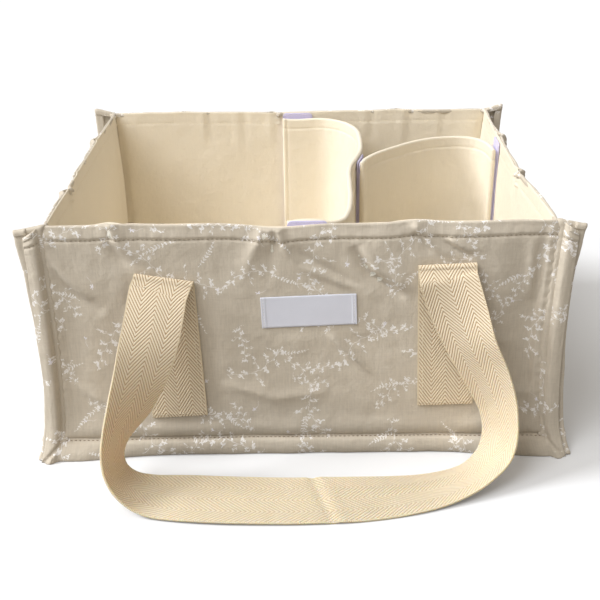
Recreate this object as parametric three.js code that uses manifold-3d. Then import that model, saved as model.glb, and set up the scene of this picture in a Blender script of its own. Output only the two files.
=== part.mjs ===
// Portable storage basket: an open fabric caddy with padded walls, two webbing handles
// and two padded dividers that lift out. Millimetres, +Z up. The origin is on the floor under
// the middle of the basket, and the labelled front faces -Y.
import * as THREE from "three";
import { mergeVertices } from "three/addons/utils/BufferGeometryUtils.js";
import Module from "manifold-3d";

const { smoothstep, lerp, degToRad } = THREE.MathUtils;

// Body, measured between its corner seams and from the floor to the rim
const bodyWidth = 356;
const bodyDepth = 320;
const bodyHeight = 180;

// Layers of the walls and the base
const fabric = 0.8;
const wallFoam = 2.4;
const layerGap = 0.3;
const baseBoard = 2;
const seamHeight = 14; // the base seam lies level with the top of the padded base

// Seam allowances left outside the corner seams as fins
const frontFin = 10.5;
const sideFin = 14.5;
const frontFlare = 9; // how far the bottom corners kick out to the front and back
const sideFlare = 3; // and to the sides
const flareStart = 90; // measured along a wall, back from its corner
const flareSteps = 6;

// Webbing handles
const webbingWidth = 40;
const webbing = 1.6;
const handleMiddle = 6; // the front handle sits a little to the right
const handleSpacing = 192; // between the middles of a handle's two sewn ends
const foldHeight = 143;
const sewnLength = 108;
const foldClearance = 0.5;

// The free loop of a handle, hanging to the floor in front of its wall
const loopReach = 70; // from the wall to the middle of the webbing that lies on the floor
const loopSpread = 39; // how far each leg swings out sideways
const kneeHeight = 32; // where the leg is widest, just before it turns in along the floor
const kneeReach = 57;
const runLength = 160;
const runTilt = 18; // degrees that the webbing on the floor leans back
const foldDrop = 30; // how far the leg's start pulls down from the fold
const foldLean = 16; // and forwards
const kneeRise = 50; // how far its end pulls up from the knee
const kneeFall = 20; // and the turn's start, down from the knee
const kneeSlope = 0.25; // forwards for each millimetre of that
const turnPull = 36;
const twistLength = 170; // over which the webbing turns to face upwards
const leanStart = 100; // between these two it starts to lean
const leanEnd = 170;
const legSteps = 14;
const kneeSteps = 12;
const runSteps = 3;

// Sewn label on the front wall
const labelWidth = 67;
const labelHeight = 23.5;
const label = 0.6;
const labelMiddle = 5;
const labelCentreHeight = 116;
const labelTilt = 2;

// Dividers, seen from above
const dividerPad = 1.8;
const dividerTop = 175;
const flapLength = 28;
const longBackX = 52;
const longFrontX = 37.5;
const backBendLength = 60; // from the back wall to where the long divider begins to turn along it
const backBendWidth = 40;
const frontBendLength = 80;
const frontBendWidth = 19;
const bendPull = 0.6; // how close a bend comes to a square corner
const waistBack = 60; // it shifts to the left between these two depths
const waistFront = -35;
const waistPull = 40;
const crossGrip = 12; // length of a cross divider's flap that lies along its neighbour
const crossStart = 20; // where that flap leaves the long divider
const crossEnd = 50; // where the other flap meets the right wall
const crossRise = 70; // how strongly the cross divider bows towards the back
const crossLean = 53; // and to the right as it leaves the long divider
const crossDrop = 43; // length of its pull straight back from the right wall
const bandSpacing = 8; // between the upright edges of a divider
const leastSteps = 4;

// Hook and loop tape
const tape = 1.2;
const tapeWidth = 28;
const tapeEdge = 6; // bare height left under a tape
const tapeTop = 178;
const hookTop = 173;

// Sizes that follow from the ones above
const halfWidth = bodyWidth / 2;
const halfDepth = bodyDepth / 2;
const foamFace = fabric + layerGap;
const liningFace = foamFace + wallFoam + layerGap;
const wallStack = liningFace + fabric;
const innerWidth = halfWidth - wallStack;
const innerDepth = halfDepth - wallStack;
const wallFoot = seamHeight + layerGap;
const weldDistance = 1e-4;
const dividerThickness = dividerPad + 2 * (fabric + layerGap);
const tapeStack = 2 * (layerGap + tape);
const flapFace = tapeStack + layerGap + dividerThickness / 2; // from a wall to a flap's middle

const wasm = await Module();
wasm.setup();

const colours = {
  printedCotton: [0xb0a58f, 0.9],
  creamLining: [0xeadfc6, 0.85],
  foam: [0xf2efe4, 0.95],
  board: [0x8d8a84, 0.8],
  webbing: [0xdcc79c, 0.9],
  tape: [0xdcd6ec, 0.9],
  labelCloth: [0xe4e4ee, 0.7],
};

const basket = new THREE.Group();

function addPiece(name, geometry, finish) {
  const [color, roughness] = colours[finish];
  const material = new THREE.MeshStandardMaterial({ color, roughness, metalness: 0 });
  const mesh = new THREE.Mesh(geometry, material);
  mesh.name = name;
  basket.add(mesh);
  return mesh;
}

// The same piece on the opposite wall, half a turn round the basket.
function addOpposite(name, geometry, finish) {
  addPiece(name, geometry, finish).rotation.z = Math.PI;
}

function evenly(from, to, count) {
  return Array.from({ length: count }, (_, i) => lerp(from, to, i / (count - 1)));
}

// A box given by its lowest and highest corners.
function boxBetween(low, high) {
  const size = high.map((value, i) => value - low[i]);
  const middle = high.map((value, i) => (value + low[i]) / 2);
  return new THREE.BoxGeometry(...size).translate(...middle);
}

// A closed sheet of cloth: two matching grids of points, its face and its back, joined round the edge.
function closedSheet(columns, rows, facePoint, backPoint) {
  const across = columns.length;
  const count = across * rows.length;
  const points = [facePoint, backPoint].flatMap((pointAt) =>
    rows.flatMap((row) => columns.map((column) => pointAt(column, row))),
  );
  const index = [];
  const quad = (a, b, c, d) => index.push(a, b, c, a, c, d);
  const edge = (a, b) => quad(b, a, count + a, count + b);
  for (let j = 0; j + 1 < rows.length; j++) {
    for (let i = 0; i + 1 < across; i++) {
      const a = j * across + i;
      const [b, c, d] = [a + 1, a + 1 + across, a + across];
      quad(a, b, c, d);
      quad(count + a, count + d, count + c, count + b);
      if (j === 0) edge(a, b);
      if (i === across - 2) edge(b, c);
      if (j === rows.length - 2) edge(c, d);
      if (i === 0) edge(d, a);
    }
  }
  return new THREE.BufferGeometry().setFromPoints(points).setIndex(index);
}

function solidOf(geometry) {
  const bare = geometry.clone();
  bare.deleteAttribute("normal");
  bare.deleteAttribute("uv");
  const merged = mergeVertices(bare, weldDistance);
  const vertProperties = merged.attributes.position.array;
  const triVerts = new Uint32Array(merged.index.array);
  return new wasm.Manifold(new wasm.Mesh({ numProp: 3, vertProperties, triVerts }));
}

function cutAway(whole, hollow) {
  const { vertProperties, triVerts } = solidOf(whole).subtract(solidOf(hollow)).getMesh();
  const geometry = new THREE.BufferGeometry();
  geometry.setAttribute("position", new THREE.BufferAttribute(vertProperties, 3));
  return geometry.setIndex(new THREE.BufferAttribute(triVerts, 1));
}

// Outer cloth. Below the base seam the corners of the fins kick out, on every wall alike.
function flared(x, y, z) {
  const droop = Math.max(0, 1 - z / seamHeight);
  const alongFront = smoothstep(Math.abs(x), halfWidth - flareStart, halfWidth);
  const alongSide = smoothstep(Math.abs(y), halfDepth - flareStart, halfDepth);
  const push = droop * alongFront * alongSide;
  return new THREE.Vector3(
    x + Math.sign(x) * sideFlare * push,
    y + Math.sign(y) * frontFlare * push,
    z,
  );
}

const panelRows = [0, seamHeight / 2, seamHeight, bodyHeight];

function frontPanel() {
  const corner = evenly(halfWidth - flareStart, halfWidth, flareSteps);
  const right = [...corner, halfWidth + frontFin];
  const columns = [...right.map((x) => -x).reverse(), ...right];
  const face = (x, z) => flared(x, -halfDepth, z);
  const back = (x, z) => flared(x, -halfDepth + fabric, z);
  return closedSheet(columns, panelRows, face, back);
}

// A side panel runs along its wall, and both its ends turn out to lie behind the front and back fins.
function leftPanel() {
  const flangeFront = halfDepth - fabric - layerGap;
  const flangeBack = flangeFront - fabric;
  const tip = halfWidth + sideFin;
  const wall = evenly(halfDepth - flareStart, flangeBack - fabric, flareSteps);
  const half = [
    ...wall.map((y) => ({ out: [halfWidth, y], inside: [halfWidth - fabric, y] })),
    { out: [halfWidth, flangeBack], inside: [halfWidth - fabric, flangeFront] },
    { out: [tip, flangeBack], inside: [tip, flangeFront] },
  ];
  const toBack = (side) => half.map((station) => station[side].map((v, i) => (i ? v : -v)));
  const toFront = (side) => toBack(side).map(([x, y]) => [x, -y]).reverse();
  const out = [...toFront("out"), ...toBack("out")];
  const inside = [...toFront("inside"), ...toBack("inside")];
  const face = (i, z) => flared(...inside[i], z);
  const back = (i, z) => flared(...out[i], z);
  return closedSheet([...out.keys()], panelRows, face, back);
}

function baseTray() {
  const x = halfWidth - foamFace;
  const y = halfDepth - foamFace;
  const tray = boxBetween([-x, -y, 0], [x, y, seamHeight]);
  const inside = [x - fabric, y - fabric];
  return cutAway(
    tray,
    boxBetween([-inside[0], -inside[1], fabric], [...inside, seamHeight + fabric]),
  );
}

function addOuterCloth() {
  addPiece("front_outer_panel", frontPanel(), "printedCotton");
  addOpposite("back_outer_panel", frontPanel(), "printedCotton");
  addPiece("left_outer_panel", leftPanel(), "printedCotton");
  addOpposite("right_outer_panel", leftPanel(), "printedCotton");
  addPiece("base_outer_tray", baseTray(), "printedCotton");
}

// Padding. The front and back foams run the whole width, and the side foams fit between them.
function addPadding() {
  const top = bodyHeight - fabric - layerGap;
  const frontBack = halfDepth - foamFace;
  const sideBack = halfWidth - foamFace;
  const sideEnd = halfDepth - liningFace;
  const front = boxBetween(
    [-sideBack, -frontBack, wallFoot],
    [sideBack, -frontBack + wallFoam, top],
  );
  const left = boxBetween([-sideBack, -sideEnd, wallFoot], [-sideBack + wallFoam, sideEnd, top]);
  addPiece("front_foam", front, "foam");
  addOpposite("back_foam", front, "foam");
  addPiece("left_foam", left, "foam");
  addOpposite("right_foam", left, "foam");
}

// Padded base, from the floor up: tray, stiff board, foam and lining.
function addBase() {
  const margin = foamFace + fabric + layerGap;
  const x = halfWidth - margin;
  const y = halfDepth - margin;
  const level = (from, to) => boxBetween([-x, -y, from], [x, y, to]);
  const boardFoot = fabric + layerGap;
  const foamFoot = boardFoot + baseBoard + layerGap;
  const liningFoot = seamHeight - fabric;
  addPiece("base_board", level(boardFoot, boardFoot + baseBoard), "board");
  addPiece("base_foam", level(foamFoot, liningFoot - layerGap), "foam");
  addPiece("base_lining", level(liningFoot, seamHeight), "creamLining");
}

// A wall's lining is turned outwards along the rim, over the top of the foam.
function wallLining(length, face) {
  const profile = new THREE.Shape();
  profile.moveTo(0, wallFoot);
  profile.lineTo(fabric, wallFoot);
  profile.lineTo(fabric, bodyHeight - fabric);
  profile.lineTo(fabric + layerGap + wallFoam, bodyHeight - fabric);
  profile.lineTo(fabric + layerGap + wallFoam, bodyHeight);
  profile.lineTo(0, bodyHeight);
  const strip = new THREE.ExtrudeGeometry(profile, { depth: length, bevelEnabled: false });
  return strip.translate(face, 0, -length / 2).rotateX(Math.PI / 2);
}

function addLinings() {
  const front = wallLining(2 * (halfWidth - liningFace), innerDepth).rotateZ(-Math.PI / 2);
  const side = wallLining(2 * (innerDepth - layerGap), innerWidth);
  addPiece("front_lining", front, "creamLining");
  addOpposite("back_lining", front, "creamLining");
  addPiece("right_lining", side, "creamLining");
  addOpposite("left_lining", side, "creamLining");
}

function addLabel() {
  const cloth = new THREE.BoxGeometry(labelWidth, label, labelHeight);
  cloth.rotateY(-degToRad(labelTilt));
  cloth.translate(labelMiddle, -halfDepth - layerGap - label / 2, labelCentreHeight);
  addPiece("label", cloth, "labelCloth");
}

// Handles. Each end is sewn flat to the wall and folded over at its top; the free loop hangs from
// the two folds, turns its face upwards on the way down and leans back on the floor.
function sewnEnd(middle) {
  const back = -halfDepth - layerGap;
  const foot = foldHeight - foldClearance - sewnLength;
  return boxBetween(
    [handleMiddle + middle - webbingWidth / 2, back - webbing, foot],
    [handleMiddle + middle + webbingWidth / 2, back, foldHeight - foldClearance],
  );
}

// Middle line of the loop's left half, from the fold to the middle of the run on the floor.
function loopHalf() {
  const legTop = new THREE.Vector3(
    -handleSpacing / 2,
    -halfDepth - 2 * layerGap - 1.5 * webbing,
    foldHeight,
  );
  const lean = degToRad(runTilt);
  const runHeight = (webbingWidth * Math.sin(lean) + webbing * Math.cos(lean)) / 2;
  const knee = new THREE.Vector3(legTop.x - loopSpread, -halfDepth - kneeReach, kneeHeight);
  const runStart = new THREE.Vector3(-runLength / 2, -halfDepth - loopReach, runHeight);
  const below = ({ x, y, z }, down, forward) => new THREE.Vector3(x, y - forward, z - down);
  const leg = new THREE.CubicBezierCurve3(
    legTop,
    below(legTop, foldDrop, foldLean),
    below(knee, -kneeRise, -kneeRise * kneeSlope),
    knee,
  );
  const turn = new THREE.CubicBezierCurve3(
    knee,
    below(knee, kneeFall, kneeFall * kneeSlope),
    new THREE.Vector3(runStart.x - turnPull, runStart.y, runHeight),
    runStart,
  );
  const run = new THREE.LineCurve3(runStart, new THREE.Vector3(0, runStart.y, runHeight));
  return [
    { curve: leg, steps: legSteps },
    { curve: turn, steps: kneeSteps },
    { curve: run, steps: runSteps },
  ];
}

// Stations along the left half, each with its middle, its direction and its distance from the fold.
function loopStations() {
  const stations = [];
  let travelled = 0;
  for (const { curve, steps } of loopHalf()) {
    const first = stations.length ? 1 : 0;
    for (let i = first; i <= steps; i++) {
      const at = i / steps;
      stations.push({
        middle: curve.getPointAt(at),
        along: curve.getTangentAt(at),
        travel: travelled + at * curve.getLength(),
      });
    }
    travelled += curve.getLength();
  }
  return stations;
}

function handleLoop() {
  const left = loopStations().map(({ middle, along, travel }) => {
    const twist = degToRad(90 * smoothstep(travel, 0, twistLength));
    const lean = degToRad(runTilt * smoothstep(travel, leanStart, leanEnd));
    const inward = new THREE.Vector3(
      Math.cos(twist),
      Math.sin(twist) * Math.cos(lean),
      Math.sin(twist) * Math.sin(lean),
    );
    inward.addScaledVector(along, -inward.dot(along)).normalize();
    return { middle, inward, normal: new THREE.Vector3().crossVectors(inward, along) };
  });
  const flip = new THREE.Vector3(-1, 1, 1);
  const mirrored = (v) => v.clone().multiply(flip);
  const right = left.slice(0, -1).map(({ middle, inward, normal }) => ({
    middle: mirrored(middle),
    inward: mirrored(inward),
    normal: mirrored(normal),
  }));
  const stations = [...left, ...right.reverse()];
  const at = (i, side, offset) => {
    const { middle, inward, normal } = stations[i];
    const point = middle.clone().addScaledVector(inward, (side * webbingWidth) / 2);
    return point.addScaledVector(normal, offset);
  };
  return closedSheet(
    [...stations.keys()],
    [-1, 0, 1],
    (i, side) => at(i, side, -webbing / 2),
    (i, side) => at(i, side, webbing / 2),
  ).translate(handleMiddle, 0, 0);
}

function addHandles() {
  const loop = handleLoop();
  const near = sewnEnd(-handleSpacing / 2);
  const far = sewnEnd(handleSpacing / 2);
  addPiece("front_handle_left_end", near, "webbing");
  addPiece("front_handle_right_end", far, "webbing");
  addPiece("front_handle_loop", loop, "webbing");
  addOpposite("back_handle_right_end", near, "webbing");
  addOpposite("back_handle_left_end", far, "webbing");
  addOpposite("back_handle_loop", loop, "webbing");
}

// Dividers and their tapes are upright bands along a line seen from above.
function sampled(path) {
  const points = [path.curves[0].getPoint(0)];
  for (const curve of path.curves) {
    const bent = Math.max(leastSteps, Math.round(curve.getLength() / bandSpacing));
    const steps = curve.isLineCurve ? 1 : bent;
    for (let i = 1; i <= steps; i++) points.push(curve.getPoint(i / steps));
  }
  return points;
}

// Carries the path on to an end, round the corner between the two.
function bendTo(path, corner, end) {
  const from = path.currentPoint;
  path.bezierCurveTo(
    lerp(from.x, corner[0], bendPull),
    lerp(from.y, corner[1], bendPull),
    lerp(end[0], corner[0], bendPull),
    lerp(end[1], corner[1], bendPull),
    ...end,
  );
}

// Unit normals on the right of the direction of travel, averaged where two stretches meet.
function rightNormals(line) {
  return line.map((point, i) => {
    const before = line[Math.max(0, i - 1)];
    const after = line[Math.min(line.length - 1, i + 1)];
    const along = after.clone().sub(before).normalize();
    return new THREE.Vector2(along.y, -along.x);
  });
}

function band(line, rightFrom, rightTo, foot, top) {
  const normals = rightNormals(line);
  const beside = (distance) => (i, z) => {
    const { x, y } = line[i].clone().addScaledVector(normals[i], distance);
    return new THREE.Vector3(x, y, z);
  };
  return closedSheet([...line.keys()], [foot, top], beside(rightTo), beside(rightFrom));
}

// The line cut down to the stretch between two distances from its start.
function stretch(line, from, to) {
  const cut = [];
  let travelled = 0;
  for (let i = 0; i + 1 < line.length; i++) {
    const length = line[i].distanceTo(line[i + 1]);
    const enter = Math.max(0, from - travelled);
    const leave = Math.min(length, to - travelled);
    if (leave - enter > weldDistance) {
      if (!cut.length) cut.push(line[i].clone().lerp(line[i + 1], enter / length));
      cut.push(line[i].clone().lerp(line[i + 1], leave / length));
    }
    travelled += length;
  }
  return cut;
}

function lengthOf(line) {
  return line.slice(1).reduce((sum, point, i) => sum + point.distanceTo(line[i]), 0);
}

function shifted(line, right) {
  const normals = rightNormals(line);
  return line.map((point, i) => point.clone().addScaledVector(normals[i], right));
}

// The long divider runs from the back wall to the front wall in a gentle S, and both its ends turn
// to the left as flaps along the walls.
function longLine() {
  const wallY = innerDepth - flapFace;
  const backBend = wallY - backBendLength;
  const frontBend = -wallY + frontBendLength;
  const flapX = longBackX - backBendWidth;
  const frontFlapX = longFrontX - frontBendWidth;
  const path = new THREE.Path();
  path.moveTo(flapX - flapLength, wallY);
  path.lineTo(flapX, wallY);
  bendTo(path, [longBackX, wallY], [longBackX, backBend]);
  path.lineTo(longBackX, waistBack);
  path.bezierCurveTo(
    longBackX, waistBack - waistPull, longFrontX, waistFront + waistPull, longFrontX, waistFront,
  );
  path.lineTo(longFrontX, frontBend);
  bendTo(path, [longFrontX, -wallY], [frontFlapX, -wallY]);
  path.lineTo(frontFlapX - flapLength, -wallY);
  return sampled(path);
}

// How far along a line that runs from back to front it first passes a given depth.
function travelAtDepth(line, depth) {
  let travelled = 0;
  for (let i = 0; i + 1 < line.length; i++) {
    const [from, to] = [line[i], line[i + 1]];
    const length = from.distanceTo(to);
    if (to.y < depth) return travelled + (length * (from.y - depth)) / (from.y - to.y);
    travelled += length;
  }
  return travelled;
}

// The cross divider grips the long divider's right face, bows towards the back and grips the right wall.
function crossLine(longDivider) {
  const leave = travelAtDepth(longDivider, crossStart);
  const grip = stretch(longDivider, leave, leave + crossGrip).reverse();
  const besideLong = dividerThickness / 2 + flapFace;
  const start = shifted(grip, besideLong);
  const last = start[start.length - 1];
  const wallX = innerWidth - flapFace;
  const path = new THREE.Path();
  path.moveTo(last.x, last.y);
  path.bezierCurveTo(
    last.x + crossLean, last.y + crossRise, wallX, crossEnd + crossDrop, wallX, crossEnd,
  );
  path.lineTo(wallX, crossEnd - crossGrip);
  return [...start.slice(0, -1), ...sampled(path)];
}

function addDivider(name, line) {
  const length = lengthOf(line);
  const inset = fabric + layerGap;
  const half = dividerThickness / 2;
  const foot = seamHeight + layerGap;
  const whole = band(line, -half, half, foot, dividerTop);
  const insideLine = stretch(line, fabric, length - fabric);
  const coreLine = stretch(line, inset, length - inset);
  const pocket = band(insideLine, -half + fabric, half - fabric, foot - inset, dividerTop - fabric);
  const core = band(coreLine, -half + inset, half - inset, foot, dividerTop - inset);
  addPiece(`${name}_sleeve`, cutAway(whole, pocket), "creamLining");
  addPiece(`${name}_core`, core, "foam");
}

function addTape(name, line, rightFrom, top) {
  const [near, far] = rightFrom > 0 ? [rightFrom, rightFrom + tape] : [rightFrom - tape, rightFrom];
  addPiece(name, band(line, near, far, seamHeight + tapeEdge, top), "tape");
}

function addDividers() {
  const long = longLine();
  const cross = crossLine(long);
  const longLength = lengthOf(long);
  const crossLength = lengthOf(cross);
  const ownFace = dividerThickness / 2 + layerGap;
  const otherFace = ownFace + tape + layerGap;
  addDivider("long_divider", long);
  addDivider("cross_divider", cross);

  const longBackFlap = stretch(long, 0, tapeWidth);
  const longFrontFlap = stretch(long, longLength - tapeWidth, longLength);
  const crossLeftFlap = stretch(cross, 0, tapeWidth);
  const crossRightFlap = stretch(cross, crossLength - tapeWidth, crossLength);
  addTape("long_divider_back_hook_tape", longBackFlap, -ownFace, hookTop);
  addTape("long_divider_front_hook_tape", longFrontFlap, -ownFace, hookTop);
  addTape("cross_divider_left_hook_tape", crossLeftFlap, -ownFace, hookTop);
  addTape("cross_divider_right_hook_tape", crossRightFlap, -ownFace, hookTop);

  const besideCross = travelAtDepth(long, crossStart) - (tapeWidth - crossGrip);
  const gripped = stretch(long, besideCross, besideCross + tapeWidth);
  addTape("long_divider_loop_tape", gripped, -ownFace, hookTop);
  addTape("back_wall_loop_tape", longBackFlap, -otherFace, tapeTop);
  addTape("front_wall_loop_tape", longFrontFlap, -otherFace, tapeTop);
  const flapEnd = cross[cross.length - 1];
  const besideWall = [new THREE.Vector2(flapEnd.x, flapEnd.y + tapeWidth), flapEnd];
  addTape("right_wall_loop_tape", besideWall, -otherFace, tapeTop);
}

addOuterCloth();
addPadding();
addBase();
addLinings();
addLabel();
addHandles();
addDividers();

export default basket;
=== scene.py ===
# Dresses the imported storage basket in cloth, padding, webbing and tape, and lights it for a studio shot.
# Lengths are millimetres, as in the part's own drawing. Meshes and cloth coordinates are built in metres.
from functools import partial
from math import copysign, cos, exp, hypot, pi, radians, sin, sqrt

import bmesh
import bpy
from mathutils import Matrix, Vector, noise


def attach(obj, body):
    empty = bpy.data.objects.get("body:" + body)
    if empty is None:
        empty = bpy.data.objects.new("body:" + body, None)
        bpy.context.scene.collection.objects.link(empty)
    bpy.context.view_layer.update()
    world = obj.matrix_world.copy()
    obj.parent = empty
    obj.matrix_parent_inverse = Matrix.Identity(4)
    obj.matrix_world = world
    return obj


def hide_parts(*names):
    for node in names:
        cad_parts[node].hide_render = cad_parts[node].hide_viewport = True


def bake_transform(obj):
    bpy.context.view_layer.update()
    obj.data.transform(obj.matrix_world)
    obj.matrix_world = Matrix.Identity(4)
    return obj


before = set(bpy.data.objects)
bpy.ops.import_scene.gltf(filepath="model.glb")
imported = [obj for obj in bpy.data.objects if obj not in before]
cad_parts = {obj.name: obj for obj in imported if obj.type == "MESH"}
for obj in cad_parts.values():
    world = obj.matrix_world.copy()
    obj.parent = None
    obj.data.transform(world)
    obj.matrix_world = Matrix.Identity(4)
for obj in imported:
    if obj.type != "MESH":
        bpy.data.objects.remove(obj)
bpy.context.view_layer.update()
print("frame loaded")

mm = 0.001
body = dict(
    halfWidth=178, halfDepth=160, height=180, seam=14.2, hem=169.5, stack=4.6, cloth=0.8,
    flareStart=90, frontFlare=9, sideFlare=3,
)
# the node tree being written
bench = {}


class Signal:
    # a number running through a node tree, so that a pattern can be written as a formula
    def __init__(self, socket):
        self.socket = socket


for sign, operation in dict(add="ADD", sub="SUBTRACT", mul="MULTIPLY", truediv="DIVIDE").items():
    setattr(Signal, f"__{sign}__", lambda a, b, operation=operation: calc(operation, a, b))
    setattr(Signal, f"__r{sign}__", lambda a, b, operation=operation: calc(operation, b, a))


def feed(target, value):
    # an input gets a signal, another node's socket or a plain value
    value = getattr(value, "socket", value)
    if hasattr(value, "links"):
        bench["tree"].links.new(value, target)
    else:
        target.default_value = value


def feedAll(made, inputs):
    for key, value in inputs.items():
        feed(made.inputs[key], value)
    return made


def adjusted(thing, **settings):
    for name, value in settings.items():
        setattr(thing, name, value)
    return thing


def node(kind, inputs={}, **settings):
    return feedAll(adjusted(bench["tree"].nodes.new("ShaderNode" + kind), **settings), inputs)


def calc(operation, *values):
    return Signal(node("Math", dict(enumerate(values)), operation=operation).outputs[0])


sine, size, wholePart = partial(calc, "SINE"), partial(calc, "ABSOLUTE"), partial(calc, "FLOOR")
remainder, larger = partial(calc, "FLOORED_MODULO"), partial(calc, "MAXIMUM")


def ramp(a, low, high):
    inputs = {"Value": a, "From Min": low, "From Max": high}
    return Signal(node("MapRange", inputs, interpolation_type="SMOOTHSTEP").outputs["Result"])


def below(a, limit, blur=0.12):
    return 1 - ramp(a, limit - blur, limit + blur)


def split(vector):
    return [Signal(out) for out in node("SeparateXYZ", {0: vector}).outputs]


def mapped(vector, scale, location=(0, 0, 0), turn=0.0):
    inputs = dict(Vector=vector, Scale=scale, Location=location, Rotation=(0, 0, turn))
    return node("Mapping", inputs).outputs["Vector"]


def inMillimetres(vector):
    return split(mapped(vector, (1000, 1000, 1000)))


def cloudy(vector, scale, detail=2.0, roughness=0.5):
    inputs = dict(Vector=vector, Scale=scale, Detail=detail, Roughness=roughness)
    return Signal(node("TexNoise", inputs).outputs["Fac"])


def cells(vector, scale):
    return Signal(node("TexVoronoi", dict(Vector=vector, Scale=scale)).outputs["Distance"])


def makeGroup(formula, outputs, **values):
    # a shared effect, whose formula turns a vector and some numbers into the outputs
    tree = bench["tree"] = bpy.data.node_groups.new(formula.__name__, "ShaderNodeTree")
    addSocket = tree.interface.new_socket
    addSocket("Vector", in_out="INPUT", socket_type="NodeSocketVector")
    for label, value in values.items():
        addSocket(label, in_out="INPUT", socket_type="NodeSocketFloat").default_value = value
    for label in outputs:
        addSocket(label, in_out="OUTPUT", socket_type="NodeSocketFloat")
    enter, leave = tree.nodes.new("NodeGroupInput"), tree.nodes.new("NodeGroupOutput")
    results = formula(enter.outputs["Vector"], *(Signal(enter.outputs[label]) for label in values))
    for label, result in zip(outputs, results):
        feed(leave.inputs[label], result)
    return tree


def plainWeave(vector, pitch):
    u, v, _ = inMillimetres(vector)
    across, along = u / pitch, v / pitch
    over = remainder(wholePart(across) + wholePart(along), 2)
    height = size(sine(across * pi)) * over + size(sine(along * pi)) * (1 - over)
    upright = cloudy(mapped(vector, (900, 70, 1)), 1.0, 3.0, 0.65)
    level = cloudy(mapped(vector, (80, 900, 1)), 1.0, 3.0, 0.65)
    return height, upright * 1.3 + level * 0.7 - 1


def herringbone(vector, spacing, slope):
    u, v, _ = inMillimetres(vector)
    unsteady = cloudy(mapped(vector, (260, 260, 1)), 1.0, 2.0) - 0.5
    # u runs from 0 to the webbing's 40, and the zigzag turns every 10
    inside = u - 20
    zigzag = size(remainder(inside, 20) - 10)
    ridge = sine(remainder((v + zigzag * slope + unsteady * 0.5) / spacing, 1) * pi)
    edge = ramp(size(inside), 18.7, 19.2)
    line = (1 - ramp(ridge, 0.12, 0.78)) * (1 - edge)
    return line, ridge * (1 - edge) + size(sine(v * 2.6)) * edge, edge


def scattered(vector, layer):
    # one motif round each point of a loose grid, each turned its own way
    cell = layer["cell"]
    spread = mapped(vector, (1000 / cell, 1000 / cell, 0), (*layer["shift"], 0), layer["turn"])
    points = node("TexVoronoi", dict(Scale=1, Randomness=layer["loose"], Vector=spread), voronoi_dimensions="2D")
    apart = node("VectorMath", {0: spread, 1: points.outputs["Position"]}, operation="SUBTRACT")
    chance, turn, kind = split(points.outputs["Color"])
    spin = node("VectorRotate", dict(Vector=apart.outputs[0], Angle=turn * 6.283), rotation_type="Z_AXIS")
    x, y, _ = split(spin.outputs[0])
    return x * cell, y * cell, kind, below(chance, layer["share"], 0.01)


def randomOf(a):
    return Signal(node("TexWhiteNoise", dict(W=a), noise_dimensions="1D").outputs["Value"])


def petals(x, y, reach, chance):
    # a small blossom, three to five petals, seen a little from the side
    flat = y * (1.0 + 0.7 * chance)
    count = 3 + wholePart(chance * 2.99)
    rim = reach * (0.62 + 0.38 * sine(calc("ARCTAN2", flat, x) * count + chance * 40))
    return below(calc("SQRT", x * x + flat * flat), rim, 0.2)


def leaf(x, y, length, width):
    # a pointed leaf from the origin along x
    along = x / length
    belly = along * (1 - along) * 4 * width
    return below(size(y), belly) * ramp(along, 0.0, 0.05) * below(along, 1.0, 0.03)


def branch(x, y, kind, layer):
    # a curved stem with slanted twigs on alternate sides, each with a blossom at its end and buds along it
    half, pitch, reach, petal = layer["half"], layer["pitch"], layer["reach"], layer["petal"]
    bend = 0.004 + 0.012 * kind
    off = y - (bend * (x * x) - 3.0 + 0.7 * sine(x * 0.21 + kind * 6))
    side = ramp(off, -0.01, 0.01) * 2 - 1
    across = x + side * (pitch * 0.5) + half * 2
    index = wholePart(across / (pitch * 2))
    near = across - index * (pitch * 2) - 1.2
    up = size(off)
    chance = randomOf(index * 2 + side + kind * 37)
    other = randomOf(index * 3 + side + kind * 91)
    length = (0.35 + 0.9 * chance) * reach * (1.1 - size(x) / (half * 1.35))
    lean = 0.52 + 0.2 * other
    along = near * lean + up * 0.82
    beside = up * lean - near * 0.82 - 0.035 * (along * along)
    inside = ramp(along, 0, 0.15)
    twig = below(size(beside), 0.13) * inside * below(along, length, 0.15)
    bloom = petals(along - length, beside, petal * (0.55 + 0.7 * other), chance)
    bud = petals(along - length * 0.62, beside - 1.3, petal * 0.45, other)
    small = petals(along - length * 0.4, beside + 1.1, petal * 0.36, chance)
    green = leaf(along - length * 0.2, beside * 0.8 + along * 0.3, 2.6, 0.55)
    stem = below(size(off), 0.17)
    grown = larger(larger(larger(bloom, bud), larger(small, green)) * inside, larger(stem, twig) * 0.78)
    return larger(grown * below(size(x), half, 0.3), petals(x - half, off, petal * 0.75, kind))


def fern(x, y, kind, layer):
    # a curved stem with a row of narrow leaves on either side
    off = y - ((0.010 * kind + 0.004) * (x * x) - 2.0)
    near = x - (wholePart(x / layer["pitch"]) + 0.5) * layer["pitch"] + 0.8
    up = size(off)
    taper = 1.15 - size(x) / layer["half"]
    ahead = (near * 0.62 + up * 0.78) / (layer["leaf"] * taper)
    beside = (up * 0.62 - near * 0.78) / 0.42
    leaves = below((ahead - 1) * (ahead - 1) + beside * beside, 0.9, 0.25)
    return larger(leaves, below(up, 0.16) * 0.8) * below(size(x), layer["half"], 0.3)


def loneBloom(x, y, kind, layer):
    stalk = below(size(y - 0.06 * (x * x)), 0.15) * ramp(x, 0, 0.2) * below(x, 7, 0.3)
    return larger(petals(x, y, layer["petal"] * (0.6 + 0.5 * kind), kind), stalk * 0.7)


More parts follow.
